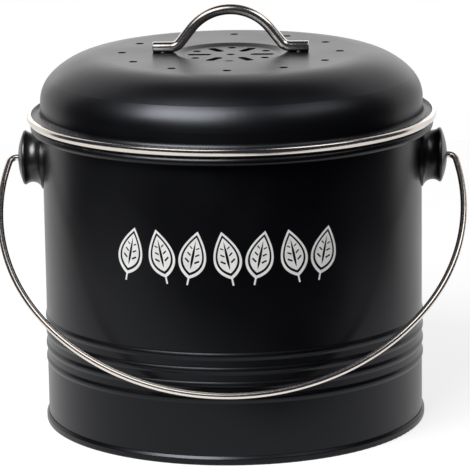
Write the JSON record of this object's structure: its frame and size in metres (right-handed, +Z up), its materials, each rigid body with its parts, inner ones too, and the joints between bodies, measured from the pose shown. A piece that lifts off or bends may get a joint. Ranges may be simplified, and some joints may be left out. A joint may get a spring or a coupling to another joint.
{
  "type": "kitchen compost bin",
  "caption": "Round ribbed steel pail with a vented dome lid, bar lid handle, bright lid band, swinging wire bail in spool ears, lift-out inner bucket and charcoal filter.",
  "frame": {"origin": "on the floor, at the middle of the seam that the pail stands on", "axes": "+Z up along the pail's axis, +X through the right ear, front (where the bail hangs) towards -Y"},
  "size_m": [0.2462, 0.2154, 0.2212],
  "materials": {
    "black_paint": "satin powder coat",
    "bright_steel": "polished stainless steel",
    "ear_plastic": "satin-gloss moulded",
    "zinc_hardware": "zinc plated",
    "bucket_plastic": "fine moulded grain",
    "holder_plastic": "moulded",
    "filter_felt": "carbon-filled felt"
  },
  "bodies": {
    "pail": {"body_shell": "black_paint", "base_plate": "black_paint", "ear_right": "ear_plastic", "ear_left": "ear_plastic", "ear_washer_right": "zinc_hardware", "ear_washer_left": "zinc_hardware", "ear_screw_right": "zinc_hardware", "ear_screw_left": "zinc_hardware"},
    "bail": {"bail_handle": "bright_steel"},
    "bucket": {"inner_bucket": "bucket_plastic"},
    "lid": {"lid_shell": "black_paint", "lid_rim_band": "bright_steel", "lid_handle": "bright_steel", "handle_washer_right": "zinc_hardware", "handle_washer_left": "zinc_hardware", "handle_screw_right": "zinc_hardware", "handle_screw_left": "zinc_hardware", "filter_holder": "holder_plastic", "charcoal_filter": "filter_felt"}
  },
  "joints": [
    {"name": "bail_swing", "type": "hinge", "parent": "pail", "child": "bail", "pos_m": [0, 0, 0.1401], "axis": [-1, 0, 0], "range_deg": [0, 270.2]},
    {"name": "bucket_lift", "type": "slide", "parent": "pail", "child": "bucket", "axis": [0, 0, 1], "range_m": [0, 0.17]},
    {"name": "lid_lift", "type": "slide", "parent": "bucket", "child": "lid", "axis": [0, 0, 1], "range_m": [0, 0.2]}
  ]
}
